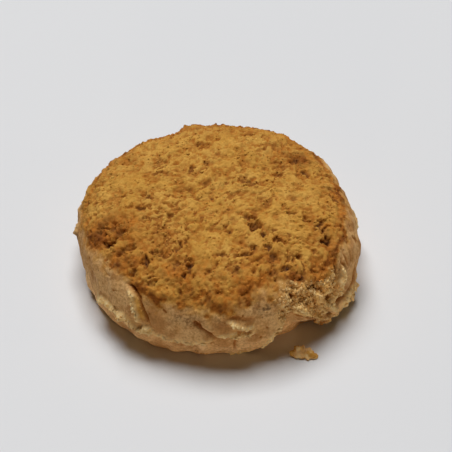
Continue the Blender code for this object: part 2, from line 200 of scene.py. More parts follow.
# Short cracks in the crust: path as (x, y), and how deep.
CRACKS = [
    ([(-8.2, -13.6), (-6.9, -12.7), (-5.7, -11.5)], 0.6), ([(3.5, -15.3), (5.3, -14.2), (6.7, -13.5)], 0.6),
    ([(-1.1, -16.2), (0.5, -15.6)], 0.5), ([(1.3, -18.1), (3.2, -17.1)], 0.5),
    ([(-14.3, -3.3), (-12.2, -3.4)], 0.45), ([(-9.2, -6.4), (-8.1, -5.5)], 0.5),
    ([(4.7, -7.9), (6.0, -9.3), (7.3, -8.0)], 0.6), ([(-11.8, -9.1), (-9.3, -9.3), (-7.0, -10.0)], 0.3),
    ([(9.7, -11.7), (11.2, -12.5)], 0.5), ([(-2.3, -19.0), (0.0, -17.2)], 0.4),
    ([(-16.4, -3.4), (-15.0, -2.4)], 0.35), ([(0.4, -10.9), (2.2, -10.1)], 0.35),
]
CRACK_WIDTH = 0.27
# Browner patches of the crust: x, y, half size across and in depth, strength.
SCORCHES = [
    (-20.0, -8.0, 5.2, 4.0, 1.15), (-13.5, -13.5, 5.2, 3.8, 0.8), (-18.0, -13.5, 3.8, 3.2, 0.9),
    (-6.0, -19.0, 6.5, 3.0, 0.65), (13.8, 11.0, 4.5, 3.4, 0.8), (10.5, -16.5, 4.5, 3.5, 0.5),
    (18.6, -8.0, 2.6, 3.6, 0.5), (20.0, 3.0, 3.0, 5.0, 0.45), (-16.0, 10.0, 4.0, 4.0, 0.3),
    (0.0, 19.0, 7.0, 2.5, 0.3),
]
LIP_SCORCH = 0.88  # how brown the crust's edge is, all the way round
# The broken corner: its middle and half size, as degrees and height, and how deep it is broken out.
BREAK_PLACE, BREAK_HALF = (-50.0, 9.4), (19.0, 7.0)
BREAK_DEPTH = 0.6
# The hollow under the broken corner, where the foot is drawn in: its upper edge as degrees and height.
COVE_TOP = np.array([
    (-84, -1.5), (-77, 0.4), (-71, 2.2), (-68, 4.8), (-64.5, 7.4), (-61.5, 9.2), (-57, 7.8), (-52.5, 6.2),
    (-48, 4.2), (-43, 2.2), (-38, 0.4), (-32, -1.5),
])
COVE_DEPTH, COVE_SLOPE = 2.3, 4.2  # how far in it is drawn, and over how much height


def scramble(cells, salt):
    """A number from 0 to 1 for each lattice cell (rows of three whole numbers): bits mixed by products."""
    mixed = cells[..., 0] * 73856093 ^ cells[..., 1] * 19349663 ^ cells[..., 2] * 83492791 ^ salt * 2654435
    mixed = (mixed ^ mixed >> 13) * 1274126177 & 0x7FFFFFFF
    mixed = (mixed ^ mixed >> 15) * 668265263 & 0x7FFFFFFF
    return (mixed ^ mixed >> 11) % 1000003 / 1000003


def smooth(share):
    """0 below 0, 1 above 1, an S curve between them."""
    share = np.clip(share, 0, 1)
    return share * share * (3 - 2 * share)


def lumps(points, size, salt):
    """Soft lumps of one size, about -1 to 1: random values at a lattice's corners, blended by S curves."""
    scaled = points / size
    cell = np.floor(scaled).astype(np.int64)
    share = smooth(scaled - cell)
    total = np.zeros(len(points))
    for corner in np.ndindex(2, 2, 2):
        weight = np.prod(np.where(corner, share, 1 - share), axis=1)
        total += weight * scramble(cell + corner, salt)
    return (total - 0.5) * 3


def grains(points, size, salt):
    """(distance to the nearest grain, gap to the second nearest, the nearest one's random number): one grain
    lies at a random place in each cell of a lattice. Distances are in cells."""
    scaled = points / size
    cell = np.floor(scaled).astype(np.int64)
    nearest = np.full(len(points), 9.0)
    second = nearest.copy()
    number = np.zeros(len(points))
    for step in np.ndindex(3, 3, 3):
        there = cell + step - 1
        middle = np.stack([scramble(there, salt + k) for k in (1, 2, 3)], axis=-1)
        away = np.linalg.norm(there + middle - scaled, axis=1)
        second = np.minimum(second, np.maximum(nearest, away))
        number = np.where(away < nearest, scramble(there, salt + 4), number)
        nearest = np.minimum(nearest, away)
    return nearest, second - nearest, number


def bent(points, reach, size, salt):
    """Places plus three fields of soft lumps, one for each axis, so that what is worked out isn't regular."""
    return points + reach * np.stack([lumps(points, size, salt + k) for k in (0, 1, 2)], axis=-1)


def around(table, angle):
    """A table of (degrees, value) read at any angle: straight lines through its rows, closed round the rim,
    read every quarter of a degree and averaged over five degrees."""
    fine = np.linspace(-180, 180, 1441)
    value = np.interp(fine, table[:, 0], table[:, 1], period=360)
    kernel = np.hanning(21) / np.hanning(21).sum()
    value = np.convolve(np.concatenate([value[-11:-1], value, value[1:11]]), kernel, "valid")
    return np.interp(angle, fine, value)


def outline(steps=4000):
    """(distance along itself, radius over the rim's, height) of the form's section from the middle of the top
    to the base: a superellipse cut off at the base, where its edge is rounded by a quarter circle."""
    turn = np.linspace(math.pi / 2, -math.pi / 2, steps)
    level, rise = np.cos(turn), np.sin(turn)
    stretch = (level**SQUARENESS + np.abs(rise) ** SQUARENESS) ** (-1 / SQUARENESS)
    height = BELLY_HEIGHT + np.where(rise > 0, THICKNESS - BELLY_HEIGHT, UNDER_REACH) * stretch * rise
    radius = RADIUS * stretch * level
    kept = height > 0
    radius, height = radius[kept], height[kept]
    low = np.clip(1 - height / BASE_ROUNDING, 0, 1)
    radius = radius - BASE_ROUNDING * (1 - np.sqrt(1 - low**2))
    along = np.concatenate([[0], np.cumsum(np.hypot(np.diff(radius), np.diff(height)))])
    return along, radius / RADIUS, height


def puck_grid():
    """(angle in radians, distance along the outline, quads, triangles) of the biscuit's closed mesh: a square
    grid bent into a disc on top, rings down the side, and rings inwards to one point under the base."""
    along, radius, _ = outline()
    widens = along < WIDENING
    top_end, side_end = np.interp(TOP_REACH / RADIUS, radius[widens], along[widens]), along[-1]
    n = TOP_CELLS
    b, a = np.meshgrid(*[np.linspace(-1, 1, n + 1)] * 2, indexing="ij")
    reach = np.maximum(np.abs(a), np.abs(b))
    safe = np.where(reach > 0, reach, 1)
    sideways = np.abs(a) >= np.abs(b)
    across = math.pi / 4 * np.where(sideways, b, a) / safe
    angle = np.where(sideways, np.where(a >= 0, across, math.pi - across),
                     np.where(b >= 0, math.pi / 2 - across, across - math.pi / 2))
    index = np.arange((n + 1) ** 2).reshape(n + 1, n + 1)
    rim = np.concatenate([index[0, :-1], index[:-1, -1], index[-1, :0:-1], index[:0:-1, 0]])
    rings = SIDE_RINGS + BASE_RINGS
    rim_angle = angle.ravel()[rim]
    down = np.linspace(top_end, side_end, SIDE_RINGS + 1)[1:]
    inward = side_end + np.arange(1, BASE_RINGS + 1) / (BASE_RINGS + 1)
    angles = np.concatenate([angle.ravel(), np.tile(rim_angle, rings), [0]])
    ring_places = np.repeat(np.concatenate([down, inward]), len(rim))
    places = np.concatenate([(reach * top_end).ravel(), ring_places, [side_end + 1]])
    ring = np.concatenate([rim[None], index.size + np.arange(rings * len(rim)).reshape(rings, -1)])
    here, after = ring, np.roll(ring, -1, axis=1)
    top = np.stack([index[:-1, :-1], index[:-1, 1:], index[1:, 1:], index[1:, :-1]], axis=-1).reshape(-1, 4)
    wall = np.stack([here[1:], after[1:], after[:-1], here[:-1]], axis=-1).reshape(-1, 4)
    pole = np.full(len(rim), len(angles) - 1)
    return angles, places, np.concatenate([top, wall]), np.stack([pole, after[-1], here[-1]], axis=-1)


def away_from(path, angle, height):
    """(distance to a path on the unrolled side, + on its left; distance along it from its nearer end; and the
    direction away from it, as shares round and up the side): the nearest point of its straight pieces."""
    corners = np.array(path, dtype=float)
    middle = corners[:, 0].mean()
    across = np.radians((angle - middle + 180) % 360 - 180) * RADIUS
    place = np.stack([across, height], axis=-1)
    corners = np.stack([np.radians(corners[:, 0] - middle) * RADIUS, corners[:, 1]], axis=-1)
    lengths = np.linalg.norm(np.diff(corners, axis=0), axis=1)
    best, travelled = np.full(len(angle), 1e9), 0.0
    signed, from_end, heading = np.zeros(len(angle)), np.zeros(len(angle)), np.zeros((len(angle), 2))
    for a, b, length in zip(corners[:-1], corners[1:], lengths):
        run = b - a
        share = np.clip((place - a) @ run / length**2, 0, 1)
        off = place - (a + share[:, None] * run)
        distance = np.hypot(off[:, 0], off[:, 1])
        nearer = distance < best
        side = np.where(run[0] * off[:, 1] - run[1] * off[:, 0] > 0, 1.0, -1.0)
        along = travelled + share * length
        best = np.where(nearer, distance, best)
        signed = np.where(nearer, side * distance, signed)
        from_end = np.where(nearer, np.minimum(along, lengths.sum() - along), from_end)
        heading = np.where(nearer[:, None], off / np.maximum(distance, 0.05)[:, None], heading)
        travelled += length
    return signed, from_end, heading


def oval(angle, height, middle, half, sharp=1.6):
    """1 in the middle of an oval patch of the side, falling to 0 at its edge."""
    across = ((angle - middle[0] + 180) % 360 - 180) / half[0]
    return smooth(sharp * (1 - np.hypot(across, (height - middle[1]) / half[1])))


def make_mesh(name, places, quads, triangles, masks, material):
    """A smooth mesh object from places in millimetres, with its masks as named values at its corners."""
    mesh = bpy.data.meshes.new(name)
    loops = np.concatenate([quads.ravel(), triangles.ravel()]).astype(np.int32)
    counts = np.concatenate([np.full(len(quads), 4), np.full(len(triangles), 3)])
    mesh.vertices.add(len(places))
    mesh.vertices.foreach_set("co", (places * MM).astype(np.float32).ravel())
    mesh.loops.add(len(loops))
    mesh.loops.foreach_set("vertex_index", loops)
    mesh.polygons.add(len(counts))
    mesh.polygons.foreach_set("loop_start", np.concatenate([[0], np.cumsum(counts)[:-1]]).astype(np.int32))
    mesh.polygons.foreach_set("use_smooth", np.ones(len(counts), dtype=bool))
    mesh.update(calc_edges=True)
    for label, values in masks.items():
        mesh.attributes.new(label, "FLOAT", "POINT").data.foreach_set("value", values.astype(np.float32))
    mesh.materials.append(material)
    piece = bpy.data.objects.new(name, mesh)
    bpy.context.scene.collection.objects.link(piece)
    return piece


def biscuit_form():
    """(places on the plain form, directions out of it, angles in degrees, shares of the way under the base,
    quads, triangles): the outline turned round, with its rim and foot pushed out or in by their tables."""
    turn, along, quads, triangles = puck_grid()
    table_along, table_radius, table_height = outline()
    radius = np.interp(along, table_along, table_radius)
    height = np.interp(along, table_along, table_height)
    under = np.clip(along - table_along[-1], 0, 1)
    angle = np.degrees(turn)
    angle = (angle + 180) % 360 - 180
    rim = RADIUS + around(RIM_OUTLINE, angle)
    foot = around(FOOT_OUTLINE, angle) * smooth(1 - height / FOOT_TOP) * radius
    reach = (rim * radius + foot) * (1 - under)
    plain = np.stack([reach * np.cos(turn), reach * np.sin(turn), np.where(under > 0, 0, height)], axis=-1)
    lift = np.where(height > BELLY_HEIGHT, THICKNESS - BELLY_HEIGHT, UNDER_REACH)
    rise = (height - BELLY_HEIGHT) / lift
    level = radius ** (SQUARENESS - 1) / RADIUS
    upward = np.sign(rise) * np.abs(rise) ** (SQUARENESS - 1) / lift
    out = np.stack([level * np.cos(turn), level * np.sin(turn), upward], axis=-1)
    out /= np.linalg.norm(out, axis=1)[:, None]
    return plain, out, angle, under, quads, triangles


def biscuit_relief(plain, angle):
    """(how far the surface stands off the plain form, how far it slides round and up the side, masks for its
    colours): sums of bell curves across the listed paths and places, and of lumps and grains of many
    sizes."""
    x, y, height = plain.T
    ragged = 0.22 * lumps(plain, 0.7, 3) + 0.3 * lumps(plain, 1.8, 4)
    wandering = angle + np.degrees(0.16 * lumps(plain, 0.8, 5) + 0.08 * lumps(plain, 2.0, 6)) / RADIUS
    wavy = height + 0.14 * lumps(plain, 0.7, 3) + 0.1 * lumps(plain, 1.8, 8)
    edge = around(CRUST_EDGE, angle)
    from_edge = height + 2.2 * ragged + 0.6 * lumps(plain, 4.0, 7) - edge
    crust = smooth(0.5 + from_edge / CRUST_FADE)
    side = 1 - crust
    below_edge = np.interp(wandering, COVE_TOP[:, 0], COVE_TOP[:, 1], left=-9, right=-9) - wavy
    broken = oval(wandering, wavy, BREAK_PLACE, BREAK_HALF, 2.6) * smooth(0.5 - below_edge / 0.6)
    cove = np.clip(below_edge / COVE_SLOPE, 0, 1)
    cove = cove * (1.4 - 0.4 * cove)
    uneven = bent(bent(plain, 0.35, 1.7, 70), 0.14, 0.55, 74) * (1.0, 0.8, 1.0)
    fine_near, _, fine_number = grains(uneven, FINE_GRAIN, 32)

    # The folds and ridges of the side, the paleness of their torn edges, and the shade painted under their
    # lips and in their creases.
    total = np.zeros(len(plain))
    cream = np.zeros(len(plain))
    shade = np.zeros(len(plain))
    golden = np.zeros(len(plain))
    slide = np.zeros((len(plain), 2))
    torn_noise = 1.05 + 0.35 * lumps(plain, 0.8, 9) + 0.35 * lumps(plain, 0.4, 10)
    patches = np.clip(0.9 + 0.7 * lumps(plain, 3.2, 13), 0.15, 1.3)
    folds_share = 1 - smooth((height - FOLDS_TOP) / FOLDS_FADE)
    for path, lip, drop, half_width, pale in FOLDS:
        away, from_end, heading = away_from(path, wandering, wavy)
        fade = smooth(0.1 + from_end / 2.5)
        flap = smooth(0.5 + 0.5 * away / half_width)
        proud = lip * np.exp(-np.abs(away) / LIP_REACH)
        below = -drop * np.exp(-np.abs(away) / DROP_REACH)
        total += fade * (flap * proud + (1 - flap) * below)
        overhang = FOLD_OVERHANG * lip * fade * flap * np.exp(-((away / 0.7) ** 2))
        slide -= overhang[:, None] * heading
        band = np.exp(-(((away - 0.3) / 0.5) ** 2)) * torn_noise * patches
        cream = np.maximum(cream, pale * fade * np.clip(band, 0, 1))
        under_lip = fade * (1 - flap) * np.exp(-((away + 0.25) / 0.4) ** 2)
        shade = np.maximum(shade, under_lip * min(1.4 * drop, 1))
    for path, high, half_width, pale in RIDGES:
        away, from_end, _ = away_from(path, wandering, wavy)
        line = smooth(0.2 + from_end / 2.0) * np.exp(-((away / half_width) ** 2))
        total += high * line
        cream = np.maximum(cream, pale * line * np.clip(torn_noise, 0.2, 1.2))
        golden = np.maximum(golden, -pale * line)
        shade = np.maximum(shade, line * min(max(-1.4 * high, 0), 1))
    total *= folds_share
    for mid_angle, mid_height, half_angle, half_height, proud, pale in BUMPS:
        bump = oval(wandering, wavy, (mid_angle, mid_height), (half_angle, half_height))
        total += proud * bump * (0.55 + 0.35 * lumps(plain, 0.6, 11) + 0.6 * fine_number)
        cream = np.maximum(cream, pale * bump * np.clip(1.2 * torn_noise, 0, 1))

    # The broken corner: lumps with creases between them, and small grains, each at its own depth.
    rough = bent(plain, 0.3, 0.9, 12)
    small_near, _, small_number = grains(rough, CORNER_GRAIN, 26)
    crag = 0.56 * lumps(rough, 1.9, 20) + 0.32 * (0.5 - 1.6 * np.abs(lumps(rough, 1.1, 23)))
    crag += 0.34 * (small_number - 0.5) + 0.32 * (0.6 - small_near) + 0.12 * lumps(plain, 0.45, 24)
    total += broken * (0.5 + 0.5 * side) * (crag - BREAK_DEPTH)
    total -= cove * COVE_DEPTH

    # The crust: a crumb of uneven grains, gaps between them, short cracks that run slantwise, and pits.
    mid_near, mid_gap, mid_number = grains(uneven, MID_GRAIN, 38)
    crumb = 0.22 * (0.6 - fine_near) + 0.12 * (fine_number - 0.5) + 0.15 * (0.6 - mid_near)
    crumb += 0.18 * (mid_number - 0.5) + 0.13 * lumps(plain, 0.42, 63) + 0.12 * lumps(uneven, 0.9, 64)
    crumb += 0.1 * lumps(uneven, 1.9, 66)
    # The low places of the crumb, where shade is painted into the colour.
    cavity = smooth((0.06 - crumb) / 0.26)
    slant = np.stack([0.5 * (0.77 * x + 0.64 * y), 1.4 * (0.77 * y - 0.64 * x), height], axis=-1)
    bed = lumps(bent(slant, 0.3, 0.8, 78), 1.5, 44)
    crack = smooth(1.1 - np.abs(bed) / OPENING_WIDTH) * smooth(-0.15 + 1.5 * lumps(plain, 2.8, 45))
    gap_open = smooth(1.1 - mid_gap / OPENING_WIDTH) * smooth(-0.1 + 1.3 * lumps(plain, 2.0, 48))
    swell = 0.3 * lumps(plain, 8.0, 46) + 0.22 * lumps(plain, 2.6, 47)
    torn_pit = 1 + 0.3 * lumps(plain, 0.5, 89) + 0.5 * (fine_number - 0.5)
    hole_near, _, hole_number = grains(bent(plain, 0.4, 0.9, 53) * (1.0, 0.75, 1.0), HOLE_SPACING, 50)
    hole = smooth(1.4 * (1 - hole_near * torn_pit / (0.1 + 0.24 * hole_number))) * (hole_number > 0.6)
    on_top = smooth((height - CRUST_TOP) / CRUST_TOP_FADE)
    pit = np.zeros(len(plain))
    dark = np.zeros(len(plain))
    halo = np.zeros(len(plain))
    wet_x, wet_y = bent(bent(plain, 0.4, 1.2, 82), 0.36, 0.45, 86).T[:2]
    for pit_x, pit_y, half_x, half_y, deep, darkness in PITS:
        spread = np.hypot((wet_x - pit_x) / half_x, (wet_y - pit_y) / (PIT_STRETCH * half_y)) * torn_pit
        pit = np.maximum(pit, PIT_DEPTH * deep * smooth(1.3 * (1.22 - spread)))
        dark = np.maximum(dark, darkness * smooth(1.7 * (0.95 - spread)))
        halo = np.maximum(halo, (0.3 + 0.45 * darkness) * smooth(1.7 - spread))
    slit = np.zeros(len(plain))
    for path, deep in CRACKS:
        for (from_x, from_y), (to_x, to_y) in zip(path[:-1], path[1:]):
            run_x, run_y = to_x - from_x, to_y - from_y
            off_x, off_y = wet_x - from_x, wet_y - from_y
            share = np.clip((off_x * run_x + off_y * run_y) / (run_x**2 + run_y**2), 0, 1)
            away = np.hypot(off_x - share * run_x, off_y - share * run_y)
            slit = np.maximum(slit, deep * np.exp(-((away / CRACK_WIDTH) ** 2)))
    slit *= on_top
    pit, dark, halo = pit * on_top, dark * on_top * (0.55 + 0.6 * fine_number), halo * on_top
    crumb_relief = crumb - OPENING_DEPTH * crack - GAP_DEPTH * gap_open - HOLE_DEPTH * hole
    total += crust * crumb_relief + swell - pit - slit
    pock = smooth(1.8 * (1 - hole_near / (0.1 + 0.16 * hole_number))) * (hole_number > 0.5)
    pressed = 0.05 * (0.6 - fine_near) + 0.12 * lumps(plain, 1.3, 58) + 0.05 * lumps(plain, 0.6, 59)
    pressed += 0.12 * lumps(plain, 2.8, 57)
    total += side * (1 - broken) * (pressed - POCK_DEPTH * pock + 0.22 * cream * (fine_number - 0.4))

    # Masks for the colours, painted shade and painted light among them.
    scorch = np.zeros(len(plain))
    patchy = 0.85 + 0.4 * lumps(plain, 2.2, 60) + 0.22 * lumps(plain, 0.9, 65)
    for mid_x, mid_y, half_x, half_y, strength in SCORCHES:
        spot = np.exp(-(((x - mid_x) / half_x) ** 2 + ((y - mid_y) / half_y) ** 2))
        scorch = np.maximum(scorch, strength * spot)
    lip = np.exp(-((from_edge - 1.2) / 1.5) ** 2)
    scorch = np.clip(np.maximum(np.maximum(scorch, LIP_SCORCH * lip), halo) * patchy, 0, 1) * crust
    smudge = np.zeros(len(plain))
    for mid_angle, mid_height, half_angle, half_height, strength in SMUDGES:
        spot = oval(wandering, wavy, (mid_angle, mid_height), (half_angle, half_height), 1.0)
        smudge = np.maximum(smudge, strength * spot)
    # Painted shade: darker brown in the crust's holes, cracks, gaps, slits and low places, and on the side
    # under the flaps' lips, in creases and in pocks, less where the edges are pale.
    deeper = np.maximum(0.75 * hole, 0.7 * crack)
    shallower = np.maximum(0.45 * gap_open, 0.38 * cavity) + 1.5 * slit
    hollow_shade = crust * np.maximum(deeper, shallower)
    hollow_shade += side * (0.8 * shade + 0.6 * pock) * (1 - 0.75 * np.clip(cream, 0, 1))
    masks = {
        "crust": np.maximum(crust, golden),
        "scorch": scorch,
        "dark": np.clip(dark, 0, 1),
        "hollow_shade": np.clip(hollow_shade, 0, 1),
        "cream": np.clip(cream, 0, 1) * side,
        "torn": broken * side,
        # Lighter ochre: by each grain's own random number, and painted light on the crumb's high crests.
        "grain_and_crest_light": np.clip(0.35 * fine_number + 0.2 * mid_number + 0.5 * smooth(0.4 + crumb / 0.4), 0, 1),
        # Darker where the broken corner lies deeper: painted shade in its recesses, and a little all over it.
        "depth_shade": np.clip(-crag * broken + 0.3 * broken, 0, 1),
        "smudge": np.clip(smudge * (1 - cream), 0, 1),
        # Paler towards the base of the side: partly the dough's own paler tone, partly painted light that the
        # table bounces up on to it.
        "foot": side * smooth((6.8 - height) / 5.5),
    }
    return total, slide * folds_share[:, None], masks


def linear(red, green, blue):
    """An sRGB colour of 0 to 255 as Blender's linear one."""
    shares = [value / 255 for value in (red, green, blue)]
    return (*[s / 12.92 if s <= 0.04045 else ((s + 0.055) / 1.055) ** 2.4 for s in shares], 1.0)


class Graph:
    """Nodes of one material, added and wired by short calls."""

    def __init__(self, name):
        self.material = bpy.data.materials.new(name)
        self.material.use_nodes = True
        self.tree = self.material.node_tree
        self.shader = self.tree.nodes["Principled BSDF"]

    def put(self, socket, value):
        """Wires a node's output to a socket, or sets the socket to a plain value."""
        if isinstance(value, bpy.types.NodeSocket):
            self.tree.links.new(value, socket)
        else:
            socket.default_value = value

    def add(self, kind, inputs=(), **settings):
        """A node with its settings, and its inputs by name or number."""
        node = self.tree.nodes.new(kind)
        for label, value in settings.items():
            setattr(node, label, value)
        for label, value in dict(inputs).items():
            self.put(node.inputs[label], value)
        return node

    def mask(self, name):
        """A named value of the mesh."""
        return self.add("ShaderNodeAttribute", attribute_name=name).outputs["Fac"]

    def mix(self, share, low, high, kind="MIX"):
        """Two colours mixed by a share."""
        node = self.add("ShaderNodeMix", data_type="RGBA", blend_type=kind)
        for number, value in ((0, share), (6, low), (7, high)):
            self.put(node.inputs[number], value)
        return node.outputs[2]

    def ramp(self, value, low, high, to_low=0.0, to_high=1.0):
        """A value stretched from one range to another, and kept inside it."""
        inputs = {0: value, 1: low, 2: high, 3: to_low, 4: to_high}
        return self.add("ShaderNodeMapRange", inputs, interpolation_type="SMOOTHSTEP").outputs[0]

    def times(self, first, second, operation="MULTIPLY"):
        """Two values multiplied, or joined by another operation."""
        return self.add("ShaderNodeMath", {0: first, 1: second}, operation=operation).outputs[0]

    def noise(self, size, detail=2.0):
        """Soft random values of one size in metres, by the object's own coordinates."""
        place = self.add("ShaderNodeTexCoord").outputs["Object"]
        inputs = {"Vector": place, "Scale": 1 / size, "Detail": detail, "Roughness": 0.6}
        return self.add("ShaderNodeTexNoise", inputs).outputs["Fac"]

    def cells(self, size):
        """Random cells of one size in metres, by the object's own coordinates."""
        place = self.add("ShaderNodeTexCoord").outputs["Object"]
        return self.add("ShaderNodeTexVoronoi", {"Vector": place, "Scale": 1 / size})

    def dots(self, size, low, high):
        """Round dots, one in each cell: 1 in their middle, falling to 0 from one distance to another."""
        return self.ramp(self.cells(size).outputs["Distance"], low, high, 1.0, 0.0)

    def granules(self, size):
        """One random value for each cell."""
        return self.add("ShaderNodeSeparateColor", {0: self.cells(size).outputs["Color"]}).outputs[0]


def dough_material():
    """Baked dough: pale tan where it was pressed, ochre and browner on the crust, cream where it is torn;
    with painted shade in hollows and painted light on crests.
    """
    g = Graph("baked_dough")
    broad, mid, fine = g.noise(0.006), g.noise(0.0016, 3.0), g.noise(0.00045, 3.0)
    mottle = g.noise(0.0028, 3.0)
    pale = g.mix(g.ramp(broad, 0.35, 0.65), linear(206, 158, 98), linear(220, 178, 121))
    pale = g.mix(g.times(g.ramp(mottle, 0.45, 0.65), 0.85), pale, linear(178, 126, 72))
    pale = g.mix(g.times(g.ramp(mid, 0.5, 0.72), 0.8), pale, linear(184, 136, 80))
    pale = g.mix(g.times(g.ramp(fine, 0.4, 0.7), 0.4), pale, linear(160, 114, 66))
    # Paler towards the base of the side: partly its own tone, partly painted light bounced up from the table.
    paler = g.mix(1.0, pale, (1.42, 1.5, 1.75, 1), "MULTIPLY")
    pale = g.mix(g.times(g.mask("foot"), 0.85), pale, paler)
    speck = g.times(g.dots(0.0013, 0.05, 0.2), g.ramp(mid, 0.42, 0.58))
    pale = g.mix(g.times(speck, 0.75), pale, linear(104, 70, 40))
    grey = g.mix(g.ramp(fine, 0.4, 0.6), linear(142, 112, 76), linear(92, 68, 46))
    pale = g.mix(g.times(g.mask("smudge"), g.ramp(g.noise(0.0009, 3.0), 0.38, 0.62)), pale, grey)
    ochre = g.mix(g.ramp(broad, 0.35, 0.65), linear(198, 147, 63), linear(213, 165, 80))
    ochre = g.mix(g.ramp(mid, 0.5, 0.72), ochre, linear(180, 116, 38))
    # Lighter ochre by each grain's own number, and painted light on the crumb's crests.
    ochre = g.mix(g.times(g.ramp(g.mask("grain_and_crest_light"), 0.2, 0.9), 0.4), ochre, linear(214, 160, 74))
    ochre = g.mix(g.times(g.ramp(g.granules(0.0006), 0.1, 0.9), 0.25), ochre, linear(176, 118, 44))
    brown = g.mix(g.ramp(mid, 0.35, 0.65), linear(126, 70, 22), linear(188, 110, 36))
    brown = g.mix(g.times(g.ramp(g.mask("scorch"), 0.6, 1.0), 0.55), brown, linear(106, 60, 22))
    ochre = g.mix(g.mask("scorch"), ochre, brown)
    base = g.mix(g.mask("crust"), pale, ochre)
    crumb = g.mix(g.ramp(mid, 0.35, 0.65), linear(226, 172, 94), linear(248, 210, 136))
    # Darker where the broken corner lies deeper: painted shade.
    crumb = g.mix(g.mask("depth_shade"), crumb, linear(178, 118, 56))
    base = g.mix(g.mask("torn"), base, crumb)
    cream = g.mix(g.ramp(fine, 0.35, 0.65), linear(236, 198, 128), linear(252, 228, 172))
    base = g.mix(g.mask("cream"), base, cream)
    # Painted shade: orange-brown, then darker brown, in the crust's hollows and cracks, in the side's creases
    # and pocks, and under its flaps.
    base = g.mix(g.ramp(g.mask("hollow_shade"), 0.0, 0.5, 0.0, 0.75), base, linear(164, 98, 32))
    base = g.mix(g.ramp(g.mask("hollow_shade"), 0.4, 1.0, 0.0, 0.8), base, linear(100, 58, 22))
    burnt = g.mix(g.ramp(fine, 0.4, 0.6), linear(72, 42, 22), linear(108, 64, 32))
    base = g.mix(g.ramp(g.mask("dark"), 0.0, 0.5, 0.0, 0.9), base, linear(134, 82, 30))
    base = g.mix(g.ramp(g.mask("dark"), 0.4, 1.0), base, burnt)
    darker = g.mix(1.0, base, (0.62, 0.58, 0.5, 1), "MULTIPLY")
    base = g.mix(g.times(g.ramp(fine, 0.35, 0.65), 0.35), base, darker)
    g.put(g.shader.inputs["Base Color"], base)
    g.put(g.shader.inputs["Roughness"], g.ramp(fine, 0.3, 0.7, 0.72, 0.92))
    g.put(g.shader.inputs["Specular IOR Level"], 0.12)
    height = g.times(g.times(g.noise(0.00022, 2.0), 0.5), g.times(fine, 0.8), "ADD")
    bump = g.add("ShaderNodeBump", {"Strength": 0.6, "Distance": 0.00016, "Height": height})
    g.put(g.shader.inputs["Normal"], bump.outputs[0])
    return g.material


plain, out, angle, under, quads, triangles = biscuit_form()
relief, slide, masks = biscuit_relief(plain, angle)
shaped = plain + out * (relief * smooth(1 - 4 * under))[:, None]
turn = np.radians(angle)
shaped += np.stack([-np.sin(turn) * slide[:, 0], np.cos(turn) * slide[:, 0], slide[:, 1]], axis=-1)
shaped[:, 2] = np.where(under > 0, 0, np.maximum(shaped[:, 2], 0))

# The base's rings are its outer ring drawn in by even steps, flat on the table.
ring_size = len(triangles)
foot = len(plain) - 1 - ring_size * (BASE_RINGS + 1)
ring = shaped[foot:foot + ring_size]
for step in range(1, BASE_RINGS + 1):
    start = foot + step * ring_size
    shaped[start:start + ring_size] = ring * (1 - step / (BASE_RINGS + 1))
shaped[foot:, 2] = 0
shaped[-1] = 0
low, high = shaped.min(axis=0), shaped.max(axis=0)
shaped[:, :2] -= (low[:2] + high[:2]) / 2
dough = dough_material()
biscuit = make_mesh("biscuit", shaped, quads, triangles, masks, dough)
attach(biscuit, "root")
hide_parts("mantecado")

# The crumbs that cling to the biscuit: fine granules baked on to the crust, coarse crumbs in the broken
# corner, thin pale flakes along the torn edges, and a tuft that hangs from the corner's lower tip. All are
# bits of the same dough, stuck where they formed. How many there are, and their least and largest radius:
GRANULES, GRANULE_SIZE = 5500, (0.14, 0.36)
CORNER_CRUMBS, CORNER_CRUMB_SIZE = 900, (0.1, 0.36)
FLAKES, FLAKE_SIZE = 560, (0.14, 0.46)
HANGING_CRUMBS, HANGING_CRUMB_SIZE = 60, (0.26, 0.6)
TIP_PLACE, TIP_HALF = (-44.5, 3.6), (4.0, 2.0)  # the corner's tip, as degrees and height, and its half size
TUFT_PLACE, TUFT_HALF = (-42.0, 1.9), (2.4, 1.9)
CLEARANCE = 0.05  # no crumb reaches lower than this
random = np.random.default_rng(29)
normals = np.zeros(3 * len(shaped), dtype=np.float32)
biscuit.data.vertex_normals.foreach_get("vector", normals)
normals = normals.reshape(-1, 3).astype(float)


def ball(rings, segments):
    """(directions to a ball's corners, its quads, its triangles): rings of latitude between two poles."""
    sink = math.pi * np.arange(1, rings + 1) / (rings + 1)
    turn = 2 * math.pi * np.arange(segments) / segments
    sink, turn = np.meshgrid(sink, turn, indexing="ij")
    belt = np.stack([np.sin(sink) * np.cos(turn), np.sin(sink) * np.sin(turn), np.cos(sink)], axis=-1)
    ways = np.concatenate([[(0, 0, 1)], belt.reshape(-1, 3), [(0, 0, -1)]])
    ring = 1 + np.arange(rings * segments).reshape(rings, segments)
    after = np.roll(ring, -1, axis=1)
    quads = np.stack([ring[:-1], ring[1:], after[1:], after[:-1]], axis=-1).reshape(-1, 4)
    north = np.stack([np.zeros(segments, dtype=int), ring[0], after[0]], axis=-1)
    south = np.stack([np.full(segments, len(ways) - 1), after[-1], ring[-1]], axis=-1)
    return ways, quads, np.concatenate([north, south])


